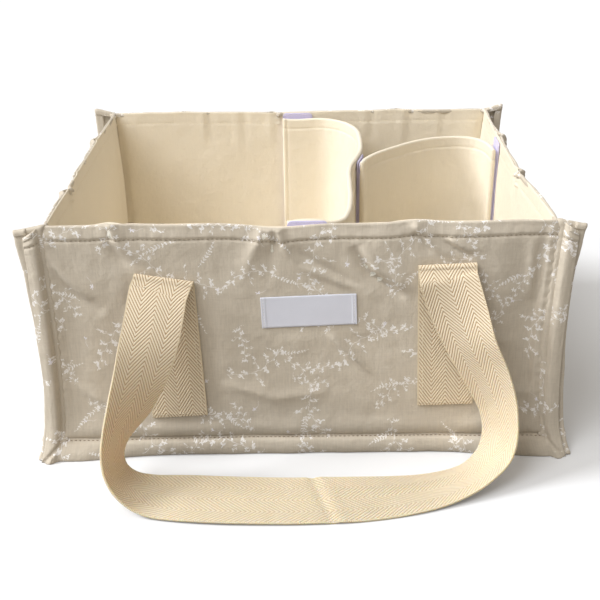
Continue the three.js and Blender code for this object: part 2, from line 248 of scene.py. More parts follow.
# every cell of a loose grid may hold one motif, lengths in millimetres
sprigs = [
    dict(draw=branch, cell=56, loose=0.55, share=0.92, shift=(0.13, 0.41), turn=0.35,
         half=23, pitch=4.4, reach=9.5, petal=2.5),
    dict(draw=branch, cell=64, loose=0.6, share=0.85, shift=(0.71, 0.08), turn=-0.5,
         half=19, pitch=3.6, reach=7.5, petal=1.9),
    dict(draw=branch, cell=48, loose=0.7, share=0.5, shift=(0.31, 0.87), turn=1.1,
         half=14, pitch=3.1, reach=6.5, petal=1.5),
    dict(draw=fern, cell=62, loose=0.6, share=0.8, shift=(0.37, 0.77), turn=0.9, half=16, pitch=2.5, leaf=1.25),
    dict(draw=fern, cell=52, loose=0.7, share=0.5, shift=(0.9, 0.33), turn=-0.2, half=11, pitch=2.2, leaf=1.1),
    dict(draw=loneBloom, cell=30, loose=0.8, share=0.35, shift=(0.5, 0.5), turn=0.1, petal=2.3),
]


def sprigPrint(vector):
    # everything drawn wanders a little, so that no stem is straight and no two blossoms are alike
    wander = node("TexNoise", dict(Scale=210, Detail=2.5, Vector=vector), noise_dimensions="2D").outputs["Color"]
    shift = node("VectorMath", {0: wander, 1: (0.0034, 0.0034, 0), 2: vector}, operation="MULTIPLY_ADD")
    mask = None
    for layer in sprigs:
        x, y, kind, present = scattered(shift.outputs[0], layer)
        shape = layer["draw"](x, y, kind, layer) * present
        mask = larger(mask, shape) if mask else shape
    worn = cloudy(mapped(vector, (420, 420, 1)), 1.0, 2.0)
    # the last layer's blossoms are given on their own too, for an ink of their own
    return mask * (0.72 + 0.28 * ramp(worn, 0.3, 0.5)), shape


def softTone(vector):
    # slow change of tone and small creases, in the object's own coordinates
    return cloudy(vector, 11, 3.0) - 0.5, cloudy(vector, 95, 4.0, 0.55)


def loopPile(vector):
    fuzz = cloudy(vector, 2600, 2.0)
    return (1 - cells(vector, 1500)) * 0.7 + fuzz * 0.3, fuzz - 0.5


def foamPores(vector):
    return ramp(cells(vector, 900), 0.05, 0.5), cloudy(vector, 30) - 0.5


groups = dict(
    weave=makeGroup(plainWeave, ["Height", "Tone"], Pitch=0.45),
    herringbone=makeGroup(herringbone, ["Line", "Height", "Edge"], Spacing=3.25, Slope=1.5),
    sprigs=makeGroup(sprigPrint, ["Mask", "Bloom"]),
    tone=makeGroup(softTone, ["Tone", "Crease"]),
    pile=makeGroup(loopPile, ["Height", "Tone"]),
    pores=makeGroup(foamPores, ["Height", "Tone"]),
)
print("node groups made")


def use(group, vector, **values):
    made = node("Group", dict(Vector=vector, **values), node_tree=groups[group])
    return {out.name: Signal(out) for out in made.outputs}


def toned(colour, tone, amount):
    # colour made lighter or darker by a tone round zero
    return node("VectorMath", {0: colour, "Scale": tone * amount + 1}, operation="SCALE").outputs[0]


def mixed(share, *pair):
    a, b = ((*colour, 1) if isinstance(colour, tuple) else colour for colour in pair)
    return node("Mix", {"Factor": share, 6: a, 7: b}, data_type="RGBA").outputs[2]


def bumped(layers):
    # bumps laid over each other, coarse ones first
    last = {}
    for height, depth in layers:
        last = dict(Normal=node("Bump", dict(Height=height, Distance=depth, Strength=1.0, **last)).outputs[0])
    return last


def newMaterial(name):
    material = bpy.data.materials.new(name)
    material.use_nodes = True
    bench["tree"] = material.node_tree
    return material, material.node_tree.nodes["Principled BSDF"]


def makeFinish(name, slot, paint, sheen=0.0, specular=0.3):
    # paint makes a colour, a roughness and bumps of a point's place and of its place on the flat cloth
    material, shader = newMaterial(name)
    place = node("TexCoord").outputs["Object"]
    colour, roughness, bumps, *others = paint(place, node("UVMap", uv_map="cloth").outputs["UV"])
    inputs = {
        "Base Color": colour, "Roughness": roughness, "Sheen Weight": sheen, "Sheen Roughness": 0.5,
        "Specular IOR Level": specular, **bumped(bumps),
    }
    inputs.update(*others)
    feedAll(shader, inputs)
    return dict(material=material, slot=slot)


colours = dict(
    ground=(0.60, 0.54, 0.445), ink=(0.93, 0.91, 0.89), bloomInk=(0.93, 0.91, 0.97), lining=(0.84, 0.765, 0.625),
    cream=(0.83, 0.73, 0.56), brown=(0.43, 0.275, 0.135), selvedge=(0.76, 0.64, 0.45), tape=(0.655, 0.62, 0.86),
    satin=(0.73, 0.755, 0.85), foam=(0.88, 0.86, 0.77), board=(0.27, 0.255, 0.23), paleThread=(0.36, 0.30, 0.22),
    # the seam thread is brown but made darker than that, so the sewn base and corner seams also carry painted
    # shade of their grooves
    brownThreadWithPaintedShade=(0.20, 0.14, 0.085), creamThread=(0.80, 0.72, 0.55), whiteThread=(0.85, 0.85, 0.88),
)
webbingMiddle = 0.402  # halfway along a handle's webbing, in metres
glowReach = (1.0, 0.66, 0.36)  # how far red, green and blue light travel in it, as shares


def paintCotton(place, flat):
    weave, tone, motif = use("weave", flat, Pitch=0.42), use("tone", place), use("sprigs", flat)
    ground = toned(toned(colours["ground"], weave["Tone"], 0.24), tone["Tone"], 0.10)
    ink = mixed(motif["Bloom"], colours["ink"], colours["bloomInk"])
    bumps = [(tone["Crease"], 0.0012), (weave["Tone"], 0.00012), (weave["Height"], 0.00003)]
    return mixed(motif["Mask"] * 0.97, ground, ink), 0.84 - motif["Mask"] * 0.12, bumps


def paintLining(place, flat):
    weave, tone = use("weave", flat, Pitch=0.36), use("tone", place)
    ground = toned(toned(colours["lining"], weave["Tone"], 0.05), tone["Tone"], 0.06)
    return ground, 0.8 + weave["Height"] * 0.06, [(tone["Crease"], 0.0009), (weave["Height"], 0.00002)]


def paintWebbing(place, flat):
    bone, tone, weave = use("herringbone", flat), use("tone", place), use("weave", flat, Pitch=0.5)
    # along the loop the lines are fainter and light from behind glows through
    _, along, _ = split(flat)
    crisp = 0.5 + 0.5 * ramp(size(along - webbingMiddle), 0.15, 0.26)
    yarn = toned(colours["cream"], weave["Tone"], 0.08)
    yarn = mixed(bone["Line"] * crisp + (1 - crisp) * 0.36, yarn, colours["brown"])
    yarn = toned(mixed(bone["Edge"], yarn, colours["selvedge"]), tone["Tone"], 0.12)
    bumps = [(tone["Crease"], 0.0005), (bone["Height"], 0.0003)]
    glow = {"Subsurface Weight": (1 - crisp) * 0.95, "Subsurface Radius": glowReach, "Subsurface Scale": 0.005}
    return yarn, 0.82 + bone["Line"] * 0.08, bumps, glow


def paintTape(place, flat):
    pile = use("pile", place)
    return toned(colours["tape"], pile["Tone"], 0.35), 0.8 + pile["Tone"] * 0.1, [(pile["Height"], 0.0004)]


def paintSatin(place, flat):
    u, v, _ = inMillimetres(flat)
    floats = size(sine(u * 9 + v * 3)) * 0.6 + size(sine(v * 16)) * 0.4
    bumps = [(use("tone", place)["Crease"], 0.0003), (floats, 0.00004)]
    return toned(colours["satin"], floats - 0.6, 0.08), 0.36 + floats * 0.14, bumps


def paintFoam(place, flat):
    pores = use("pores", place)
    tone = pores["Tone"] + pores["Height"] - 0.8
    return toned(colours["foam"], tone, 0.2), 0.9 + pores["Height"] * 0.08, [(pores["Height"], 0.0004)]


def paintBoard(place, flat):
    fibres = cloudy(mapped(place, (60, 900, 60)), 1.0, 4.0)
    flecks = cloudy(place, 700, 2.0)
    return toned(colours["board"], fibres + flecks - 1, 0.5), 0.72 + fibres * 0.15, [(fibres, 0.0003)]


def paintThread(colour, place, flat):
    twist = size(sine(cloudy(place, 1800, 1.0) * 9))
    return toned(colours[colour], twist - 0.5, 0.3), 0.5 + twist * 0.2, [(twist, 0.0001)]


finishes = dict(
    cotton=makeFinish("printedCotton", "printed_cotton", paintCotton, 0.12),
    lining=makeFinish("creamLining", "cream_lining", paintLining, 0.1),
    webbing=makeFinish("herringboneWebbing", "webbing", paintWebbing, 0.15),
    tape=makeFinish("hookAndLoop", "tape", paintTape, 0.5),
    satin=makeFinish("labelSatin", "label_cloth", paintSatin, 0.2, 0.5),
    foam=makeFinish("foamPadding", "padding", paintFoam),
    board=makeFinish("greyBoard", "board", paintBoard),
)
for thread, slot in (
    ("paleThread", "printed_cotton"), ("brownThreadWithPaintedShade", "printed_cotton"), ("creamThread", "cream_lining"),
    ("whiteThread", "label_cloth"),
):
    finishes[thread] = makeFinish(thread, slot, partial(paintThread, thread), specular=0.4)
print("materials made")


def spaced(*stretches):
    # parameter values along several stretches, each (from, to, step)
    values = []
    for low, high, step in stretches:
        count = max(1, round(abs(high - low) / step))
        values += [low + (high - low) * i / count for i in range(count)]
    return values + [stretches[-1][1]]


def edged(low, high, margin, fine, coarse):
    # values from low to high, close together near both ends
    return spaced((low, low + margin, fine), (low + margin, high - margin, coarse), (high - margin, high, fine))


def within(x):
    return min(1.0, max(0.0, x))


def soft(x, low, high):
    t = within((x - low) / (high - low))
    return t * t * (3 - 2 * t)


def bell(x, width):
    return exp(-((x / width) ** 2))


def humps(rows, at):
    return sum(high * bell(at - middle, wide) for middle, high, wide in rows)


def noiseAt(x, y, z):
    return noise.noise(Vector((x, y, z)))


def crumple(u, v, seed, big=38.0, small=14.0):
    return noiseAt(u / big, v / big, seed) + 0.35 * noiseAt(u / small, v / small, seed + 7.3)


def pucker(at, pitch, stray, scale, seed, layer):
    # an uneven ripple along a seam
    return sin(at * pitch + stray * noiseAt(at / scale, seed, layer))


def rolledOver(past, radius):
    # how far ahead and how far back a cloth is that turns back over half a circle
    a = past / radius
    if a < pi:
        return radius * sin(a), radius * (1 - cos(a))
    return -radius * (a - pi), 2 * radius


def newObject(name, data):
    made = bpy.data.objects.new(name, data)
    bpy.context.collection.objects.link(made)
    return made


def asData(name, mesh, material):
    data = bpy.data.meshes.new(name)
    mesh.to_mesh(data)
    mesh.free()
    data.materials.append(material)
    return data


def addObject(name, mesh, finish):
    data = asData(name, mesh, finishes[finish]["material"])
    data.polygons.foreach_set("use_smooth", [True] * len(data.polygons))
    piece = newObject(name, data)
    return piece


def clothSheet(us, vs, place, flat=None):
    # a grid whose points are placed one by one, with its own cloth coordinates in metres
    mesh = bmesh.new()
    bmesh.ops.create_grid(mesh, x_segments=len(us) - 1, y_segments=len(vs) - 1, size=0.5)
    layer = mesh.loops.layers.uv.new("cloth")
    params = {}
    for vert in mesh.verts:
        params[vert] = us[round((vert.co.x + 0.5) * (len(us) - 1))], vs[round((vert.co.y + 0.5) * (len(vs) - 1))]
    for face in mesh.faces:
        for corner in face.loops:
            u, v = params[corner.vert]
            corner[layer].uv = Vector(flat(u, v) if flat else (u, v)) * mm
    for vert, (u, v) in params.items():
        vert.co = Vector(place(u, v)) * mm
    return mesh


def settle(piece, bodyName, nodes):
    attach(piece, bodyName)
    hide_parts(*nodes)


def sheetPiece(name, us, vs, place, finish, thickness, nodes=(), flat=None, offset=-1):
    mesh = clothSheet(us, vs, place, flat)
    area = sum(face.calc_area() for face in mesh.faces)
    piece = addObject(name, mesh, finish)
    adjusted(piece.modifiers.new("thickness", "SOLIDIFY"), thickness=thickness * mm, offset=offset)
    if nodes:
        settle(piece, "basket", nodes)
    return piece


def paddedBand(name, us, rows, place, flat, finish, fill, bodyName, nodes):
    # the rows run up the inner face and down the outer one, and the band's ends are pinched shut
    count = len(rows) - 1
    mesh = clothSheet(us, list(range(-count, count + 1)), place, flat)
    bmesh.ops.remove_doubles(mesh, verts=mesh.verts, dist=0.000005)
    bmesh.ops.dissolve_degenerate(mesh, edges=mesh.edges, dist=0.000004)
    piece = addObject(name, mesh, finish)
    settle(piece, bodyName, nodes)


def roundEdges(piece, width):
    adjusted(
        piece.modifiers.new("edges", "BEVEL"), width=width * mm, segments=2, limit_method="ANGLE",
        angle_limit=radians(50),
    )


# length of a stitch, distance to the next and radius of the thread
stitches = dict(
    outer=(2.2, 3.2, 0.36), lining=(2.2, 3.2, 0.24), label=(1.7, 2.2, 0.22), strap=(2.2, 3.0, 0.24),
    divider=(2.0, 2.8, 0.24),
)


def stitchRow(name, runs, finish, kind, bodyName="basket"):
    # runs: lists of (point, outward normal) along each sewn line
    length, pitch, radius = stitches[kind]
    mesh, few = bmesh.new(), bmesh.new()
    sizes = Matrix.Diagonal((length / 2 * mm, radius * mm, radius * 0.8 * mm, 1))

    def gather():
        data = bpy.data.meshes.new("stitches")
        few.to_mesh(data)
        mesh.from_mesh(data)
        bpy.data.meshes.remove(data)
        few.clear()

    for run in runs:
        travelled, target = 0.0, pitch * 0.5
        for (a, normalA), (b, normalB) in zip(run, run[1:]):
            a, b = Vector(a), Vector(b)
            step = (b - a).length
            if step < 1e-6:
                continue
            while target <= travelled + step:
                share = (target - travelled) / step
                normal = Vector(normalA).lerp(Vector(normalB), share).normalized()
                along = (b - a).normalized()
                normal = (normal - along * normal.dot(along)).normalized()
                turn = Matrix((along, normal.cross(along), normal)).transposed().to_4x4()
                put = Matrix.Translation(a.lerp(b, share) * mm) @ turn @ sizes
                bmesh.ops.create_uvsphere(few, u_segments=6, v_segments=4, radius=1, matrix=put)
                target += pitch
                if len(few.verts) > 600:
                    gather()
            travelled += step
    gather()
    few.free()
    mesh.loops.layers.uv.new("cloth")
    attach(addObject(name, mesh, finish), bodyName)


# pleats and lifts: (place along the wall, amount, width). folds: (points, amount, width), deepest where they
# start or in the middle. flatSpots: (left, right, low, high)
walls = dict(
    front=dict(
        half=body["halfWidth"], other=body["halfDepth"], bow=0, seed=1,
        pleats=[(-120, 1, 2.4), (60, 0.9, 2.6)],
        lifts=[
            (-131, 1.5, 7), (-118, 0.9, 22), (79, 1.6, 13), (-14, -2.6, 26), (-60, 0.5, 25), (40, -0.6, 20),
            (150, 0.5, 20),
        ],
        startFolds=[
            ([(-26.3, 177.7), (-30.7, 165.5), (-36.5, 153.1), (-39.7, 139)], 0.9, 3.2),
            ([(-21.5, 178), (-22.6, 161.7)], 1, 2.4),
            ([(-15.5, 177.6), (-11.6, 165.2), (-0.9, 150.4), (26.6, 135.9)], 1.1, 3.4),
            ([(-19, 168), (-22, 150), (-24, 135)], -0.7, 4),
            ([(78.1, 176.2), (95.1, 157.1), (117.2, 152.8)], 1, 3.4),
            ([(80, 170), (97, 151), (119, 147)], -0.8, 3),
            ([(-130, 178), (-124.7, 166.7), (-113.8, 157.1), (-97.5, 144.3)], 1.2, 4.2),
        ],
        middleFolds=[
            ([(-26, 179), (-26.5, 170)], -0.3, 1.6), ([(-19, 179), (-18.5, 170)], -0.3, 1.6),
            ([(-8, 166), (4, 156), (30.8, 139.1), (48.9, 129.6)], -0.8, 4),
            ([(0, 151.9), (30.8, 135.1), (48.9, 127.6)], 0.9, 3.4),
            ([(34.8, 163.7), (47.3, 144.4), (77, 121.3)], -1.3, 4.2),
            ([(41, 163.7), (53.3, 147), (79, 127.3)], 0.8, 4),
            ([(10.9, 107.6), (30, 87), (50.4, 65.9)], 0.9, 2.6), ([(100, 169.6), (118.3, 157.2)], 0.7, 2.4),
            ([(92, 169.6), (112.3, 157.2), (130, 155)], -0.6, 2.4),
            ([(164.6, 170.7), (168.9, 128.7), (169.5, 90)], -0.25, 3.4), ([(159, 168), (163, 120)], 0.7, 4),
            ([(-131.6, 181), (-129.2, 168.6)], -0.9, 1.8), ([(-133, 168), (-128, 158), (-116, 147)], -0.7, 4),
            ([(-175, 158.9), (-162.8, 141.9), (-147.4, 126.1)], 0.9, 5),
            ([(-176, 146), (-158.8, 128), (-140, 116)], -0.7, 5),
            ([(89.4, 123), (118.5, 99.5), (154.6, 87.2)], 0.8, 4.5),
            ([(-170, 60), (-140, 44), (-118, 40)], 0.6, 4.5), ([(-60, 60), (-20, 48), (20, 52)], 0.6, 6),
            ([(120, 40), (150, 50), (172, 46)], 0.6, 5),
        ],
        flatSpots=[(-118, -64, 28, 150), (76, 128, 32, 154), (-32, 43, 100, 131)],
    ),
    back=dict(
        half=body["halfWidth"], other=body["halfDepth"], bow=0, seed=3,
        pleats=[
            (86, 1.3, 2.2), (53, 1.1, 2.6), (22, 1.2, 2.4), (-68, 0.9, 2.6), (-104, 1, 2.8), (-136, 0.8, 2.6),
        ],
        lifts=[(-90, 0.8, 16), (20, -0.9, 30), (110, 0.8, 14), (140, 0.5, 12)],
        startFolds=[
            ([(-92, 178), (-84, 160), (-66, 148)], 1, 3.6), ([(20, 178), (22, 160), (16, 140)], -0.9, 3.4),
            ([(26, 178), (32, 160), (50, 142)], 1, 3.4), ([(110, 178), (118, 158), (140, 146)], 0.9, 3.4),
        ],
        middleFolds=[
            ([(-30, 120), (0, 96), (34, 84)], 0.8, 4.2), ([(140, 120), (156, 96), (172, 84)], -0.8, 4.2),
            ([(-172, 120), (-152, 100), (-128, 94)], 0.8, 4.2), ([(-172, 66), (-120, 50), (-84, 46)], 0.7, 5),
        ],
        flatSpots=[(-122, -70, 28, 152), (70, 122, 28, 152)],
    ),
    left=dict(
        half=body["halfDepth"], other=body["halfWidth"], bow=-1, seed=5,
        pleats=[(-60, 0.8, 3), (30, 0.8, 3)],
        lifts=[(-60, 1, 20), (70, -1.2, 30)],
        startFolds=[
            ([(-62, 178), (-50, 156), (-30, 140)], 1, 3.8), ([(70, 178), (66, 156), (44, 136)], -0.9, 3.6),
            ([(76, 178), (84, 154), (104, 140)], 1, 3.8),
        ],
        middleFolds=[
            ([(-120, 110), (-80, 86), (-30, 78)], 0.9, 5), ([(20, 90), (60, 60), (110, 50)], 0.9, 5),
            ([(-150, 60), (-110, 44), (-60, 42)], -0.7, 5),
        ],
        flatSpots=[],
    ),
    right=dict(
        half=body["halfDepth"], other=body["halfWidth"], bow=4.5, seed=9,
        pleats=[(-30, 0.9, 3), (70, 0.8, 3)],
        lifts=[(-40, -1.2, 30), (60, 1, 20)],
        startFolds=[
            ([(-44, 178), (-40, 158), (-24, 138)], -0.9, 3.8), ([(-36, 178), (-22, 156), (4, 142)], 1, 3.8),
            ([(62, 178), (54, 158), (30, 142)], 1, 3.8),
        ],
        middleFolds=[
            ([(-130, 100), (-86, 82), (-36, 76)], 0.9, 5), ([(30, 96), (74, 70), (124, 62)], 0.9, 5),
            ([(-60, 50), (0, 40), (60, 44)], -0.7, 5),
        ],
        flatSpots=[],
    ),
)
longWalls = ("front", "back")


def nearestOn(points, u, z):
    # how far the line through the points is, and the share of it that lies before its nearest place
    best, at = 1e9, 0.0
    for i, ((ax, az), (bx, bz)) in enumerate(zip(points, points[1:])):
        dx, dz = bx - ax, bz - az
        t = within(((u - ax) * dx + (z - az) * dz) / (dx * dx + dz * dz))
        far = hypot(u - ax - t * dx, z - az - t * dz)
        if far < best:
            best, at = far, (i + t) / (len(points) - 1)
    return best, at


def foldAmount(wall, u, z):
    total = 0.0
    for deepest in ("start", "middle"):
        for points, amount, width in walls[wall][deepest + "Folds"]:
            far, at = nearestOn(points, u, z)
            if far < width * 3.2:
                keep, wide = sin(pi * within(at)) ** 0.6, 0.8 * width
                if deepest == "start":
                    keep, wide = (1 - at) ** 0.8, wide * (1 + 0.9 * at)
                total += amount * keep * exp(-((far / wide) ** 1.5))
    return total


def looseness(wall, u, z):
    # cloth is held flat under what is sewn to it
    def over(x, low, high):
        return soft(x, low - 7, low) * soft(-x, -high - 7, -high)

    spots = walls[wall]["flatSpots"]
    return min([1.0, *(1 - over(u, left, right) * over(z, low, high) for left, right, low, high in spots)])


def sunkSide(wall, u, z):
    # the front wall hollows towards its right seam, and every wall a little towards both
    e = max(0.0, walls[wall]["half"] - abs(u))
    tall = sin(pi * ((z - 6) / 176)) ** 0.8 if 6 < z < 182 else 0.0
    if wall == "front" and u > 0:
        return tall * (7.0 * soft(-e, -46, -11) - 5.0 * soft(-e, -11, -6)) * soft(e, 0, 4)
    return tall * 2.6 * soft(-e, -30, -9) * soft(e, 0, 9)


def outerShape(wall, u, z):
    # how far the outer cloth stands out from the wall's nominal face
    seed = walls[wall]["seed"]
    e, up, hem = walls[wall]["half"] - abs(u), z - body["seam"], z - body["hem"]
    low = (exp(-up / 2.4) if up > 0 else bell(up, 1.2)) * soft(e, -5, 1)
    side = (exp(-e / 3.2) if e > 0 else bell(e, 1.5)) * soft(z, 7, 16)
    free = 1 - max(low, side)
    out = -max(4.0 * low, 3.2 * side) - 0.9 * bell(hem, 1.3) * free
    if hem < 0:
        out -= 0.35 * exp(hem / 8) * free
    out -= 1.3 * soft(hem, 1, 9.5)
    if e < 0:
        out += 0.8 * sin(pi * min(1.0, -e / 11)) + 2.6 * soft(-e, 0, 4.5) - 0.6 * soft(-e, 7, 11)
    out -= sunkSide(wall, u, z)
    if up < 0:
        out += (1.5 * soft(e, -4, 3) + 0.6) * sin(pi * within(z / body["seam"])) ** 0.8
    if e < 4 and up < 4:
        mitre = abs(-e * 0.803 + up * 0.596)  # distance from the mitre's fold
        out -= 1.9 * bell(mitre, 1.5) * soft(-e, -3, 1) * soft(-up, -3, 1)
    if e > 0:
        loose = looseness(wall, u, z)
        wave = 1.5 * crumple(u, z, seed) + 4.4 * foldAmount(wall, u, z)
        out += wave * free * (0.12 + 0.88 * loose)
        out += 0.25 * pucker(u, 0.86, 3, 30, seed, 0) * exp(-abs(hem) / 4.5) * free
        out += 0.3 * pucker(z, 0.8, 2.5, 25, seed, 4) * bell(e - 3, 3.5) * soft(z, 14, 24)
        out += 1.1 * bell(up - 9, 6.5) * soft(e, 2, 14)
        out = min(out, 0.25 + 4.2 * loose)
    return out


def innerShape(wall, u, z):
    # how far the lining's inner face stands in from the same nominal face
    shape, seed = walls[wall], walls[wall]["seed"]
    inner = shape["half"] - body["stack"]
    e, hem = inner - abs(u), z - body["hem"]
    out = 0.28 * bell(hem, 1.3) * (0.7 + 0.6 * noiseAt(u / 7, seed, 11)) - body["stack"]
    out += 0.16 * soft(hem, -1, 1) + 0.7 * exp(-max(0.0, e) / 4)
    out += 0.18 * pucker(u, 0.8, 3, 34, seed, 9) * exp(-abs(hem + 2) / 4)
    for at, deep, wide in shape["pleats"]:
        near = bell(u - at, wide) - 0.6 * bell(u - at - 2.2 * wide, 1.6 * wide)
        out += deep * near * soft(z, 138, 168)
    out -= 0.9 * sunkSide(wall, u * shape["half"] / inner, z)
    wave = 0.9 * crumple(u, z, seed + 20, 58, 22) - 0.3
    out += wave * soft(z, 14, 40) * soft(e, 0, 22) * (1 - 0.6 * soft(z, 165, 176))
    return min(out, outerShape(wall, u, z) - 2.3) if z < 175 else out


def upShare(z):
    # height as a share of the wall's
    return max(0.0, z / body["height"])


def wallBow(wall, u, z):
    shape = walls[wall]
    if abs(u) >= shape["half"]:
        return 0.0
    return shape["bow"] * cos(pi * u / (2 * shape["half"])) ** 1.2 * within(z / body["height"]) ** 1.6


def waisted(x, y, z):
    # the corners draw in between rim and base, more so on the right
    draw = (4.6 if x > 0 else 3.0) * sin(pi * within(z / body["height"]) ** 0.8)
    return x * (1 - draw / body["halfWidth"]), y, z


def wallPoint(wall, u, z, out):
    # a point of a wall: u along it, z up it and out from its nominal face
    out -= wallBow(wall, u, z)
    z += humps(walls[wall]["lifts"], u) * upShare(z) ** 5
    reach = walls[wall]["other"] + out
    x, y = dict(front=(u, -reach), back=(-u, reach), right=(reach, u), left=(-reach, -u))[wall]
    return waisted(x, y, z)


def flared(x, y, z):
    # towards the floor the corners of the fins kick out
    push = max(0.0, 1 - z / 34) ** 2.2
    push *= soft(abs(x), body["halfWidth"] - body["flareStart"], body["halfWidth"])
    push *= soft(abs(y), body["halfDepth"] - body["flareStart"], body["halfDepth"])
    return x + copysign(body["sideFlare"] * push, x), y + copysign(body["frontFlare"] * push, y), z


rim = dict(roll=1.3, foot=1.0)


def heightOf(h):
    # the cloth's own height turned into a place: rolled under at the foot and over at the rim
    top, foot = body["height"] - rim["roll"], rim["foot"]
    if h > top:
        ahead, back = rolledOver(h - top, rim["roll"])
        return top + ahead, -back
    if h < foot:
        ahead, back = rolledOver(foot - h, foot)
        return foot - ahead, -back
    return h, 0.0


printStep = 97
# heights of the cloth's rows, close together at the foot, the base seam, the hem and the rim
outerRows = spaced(
    (-6.0, 1.0, 0.7), (1.0, 12.0, 1.1), (12.0, 17.0, 0.5), (17.0, 163.0, 2.0), (163.0, 166.5, 1.0),
    (166.5, 172.5, 0.5), (172.5, 178.7, 0.8), (178.7, 185.0, 0.5),
)
longFin = dict(flat=10.9, roll=0.9, back=6.5, slant=dict(front=8.0, back=-3.0))
sideFin = dict(turnAt=156.4, turn=1.5, flat=13.6, roll=0.9, back=6.0, slant=3.5, rearSlant=-3.5, clear=1.1)
# how far the side cloth's flange shows beside the seam, by height, on the left and the right
finReach = dict(
    left=[(0, 14.6), (25, 13.6), (60, 12.4), (100, 13.2), (140, 14.6), (170, 16.8), (190, 17.2)],
    right=[(0, 15.6), (25, 15.2), (60, 14.8), (100, 13.4), (140, 13.2), (165, 15.2), (190, 17.2)],
    rear=dict(left=14.2, right=12.8),
)


def tabled(table, at):
    for (a, low), (b, high) in zip(table, table[1:]):
        if at <= b:
            return low + (high - low) * soft(at, a, b)
    return table[-1][1]


def longWallPoint(wall, u, h):
    half, fin = walls[wall]["half"], longFin
    z, turned = heightOf(h)
    e, side = abs(u) - half, copysign(1, u)
    if e <= 0:
        return flared(*wallPoint(wall, u * (1 + turned / half), z, outerShape(wall, u, z) + turned))
    x, back = e, 0.0
    if e > fin["flat"]:
        ahead, back = rolledOver(e - fin["flat"], fin["roll"])
        x = fin["flat"] + ahead
    out = outerShape(wall, side * (half + x), z) - back + turned * (1 - back / fin["roll"])
    ridge = 0.3 * noiseAt(z / 24, walls[wall]["seed"] + side, 2)
    z -= fin["slant"][wall] * min(1.0, x / 12) * upShare(z) ** 9
    return flared(*wallPoint(wall, side * (half + x + ridge), z, out + ridge))


def sideWallPoint(wall, w, h):
    fin = sideFin
    quarter, deep = fin["turn"] * pi / 2, fin["turnAt"] + fin["turn"]
    z, turned = heightOf(h)
    a, side = abs(w) - fin["turnAt"], copysign(1, w)
    if a <= 0:
        return flared(*wallPoint(wall, w * (1 + turned / body["halfWidth"]), z, outerShape(wall, w, z) + turned))
    start = outerShape(wall, fin["turnAt"], z)
    if a < quarter:
        b = a / fin["turn"]
        u = fin["turnAt"] + (fin["turn"] + turned) * sin(b)
        out = start + fin["turn"] * (1 - cos(b)) + turned * cos(b)
        return flared(*wallPoint(wall, side * u, max(z, fin["clear"] * sin(b)), out))
    past = a - quarter - fin["flat"]
    ahead, back = rolledOver(past, fin["roll"]) if past > 0 else (past, 0.0)
    out = start + fin["turn"] + fin["flat"] + ahead
    u = deep - back + turned * cos(min(max(0.0, past / fin["roll"]), pi))
    z = max(z, fin["clear"])
    ridge = 0.3 * noiseAt(z / 26, walls[wall]["seed"] + side, 6)
    front = (w < 0) == (wall == "right")
    z -= fin["slant" if front else "rearSlant"] * within((out - start) / 14) * upShare(z) ** 9
    reach = tabled(finReach[wall], z) if front else finReach["rear"][wall]
    reach -= fin["roll"] + fin["turn"] + start
    return flared(*wallPoint(wall, side * u, z, start + (out - start) * reach / fin["flat"] + ridge))


def outerPoint(wall):
    return partial(longWallPoint if wall in longWalls else sideWallPoint, wall)


def makeOuterCloth(wall):
    if wall in longWalls:
        half = walls[wall]["half"]
        flat = half + longFin["flat"]
        outer = flat + pi * longFin["roll"] + longFin["back"]
        fin = spaced((half, flat, 0.8), (flat, flat + 2.9, 0.48), (flat + 2.9, outer, 1.6))
        middle = edged(-half, half, 10, 1.0, 2.0)
    else:
        turnAt = sideFin["turnAt"]
        start = turnAt + sideFin["turn"] * pi / 2
        flat = start + sideFin["flat"]
        roll = flat + pi * sideFin["roll"]
        end = roll + sideFin["back"]
        fin = spaced((turnAt, start, 0.6), (start, flat, 1.3), (flat, roll, 0.5), (roll, end, 1.5))
        middle = edged(-turnAt, turnAt, 9, 1.0, 2.1)
    us = [-u for u in reversed(fin)][:-1] + middle + fin[1:]
    # each panel is cut from another place of the printed cloth
    along = printStep * (walls[wall]["seed"] - 1)
    sheetPiece(
        wall + "Cloth", us, outerRows, outerPoint(wall), "cotton", body["cloth"],
        [wall + "_outer_panel"], lambda u, v: (u + along, v),
    )


for wallName in walls:
    makeOuterCloth(wallName)
print("outer cloth sewn")

baseShape = dict(halfX=175.4, halfY=157.4, foot=0.35, side=10.4, inner=3, round=2.0)


def basePoint(u, v):
    # the printed bottom, drawn up round the base's edges
    bend = baseShape["round"]

    def fold(a, half):
        e = abs(a) - (half - bend)
        if e <= 0:
            return a, 0.0
        b = e / bend
        if b < pi / 2:
            return copysign(half - bend * (1 - sin(b)), a), bend * (1 - cos(b))
        return copysign(half, a), e - bend * (pi / 2 - 1)

    x, upX = fold(u, baseShape["halfX"])
    y, upY = fold(v, baseShape["halfY"])
    puff = 0.25 + 0.25 * crumple(u, v, 31, 60, 22)
    inside = soft(baseShape["halfX"] - abs(x), 0, 20) * soft(baseShape["halfY"] - abs(y), 0, 20)
    return x, y, baseShape["foot"] + max(upX, upY) + max(0.0, puff) * inside * 0.8


def makeBaseCloth():
    side, margin = baseShape["side"], baseShape["side"] + baseShape["inner"]
    reaches = baseShape["halfX"] + side, baseShape["halfY"] + side
    us, vs = (edged(-reach, reach, margin, 1.2, 6.0) for reach in reaches)
    us.reverse()
    sheetPiece("baseCloth", us, vs, basePoint, "cotton", 0.7, ["base_outer_tray"])


makeBaseCloth()

liningRows = spaced(
    (14.4, 20, 1.0), (20, 163, 3.0), (163, 166.5, 1.0), (166.5, 172.5, 0.5), (172.5, 179.2, 0.9),
    (179.2, 183.4, 0.4),
)
liningShape = dict(
    roll=0.6, below=0.2, thickness=0.7, base=dict(halfX=173.3, halfY=155.3, level=14.3, channelIn=9),
)


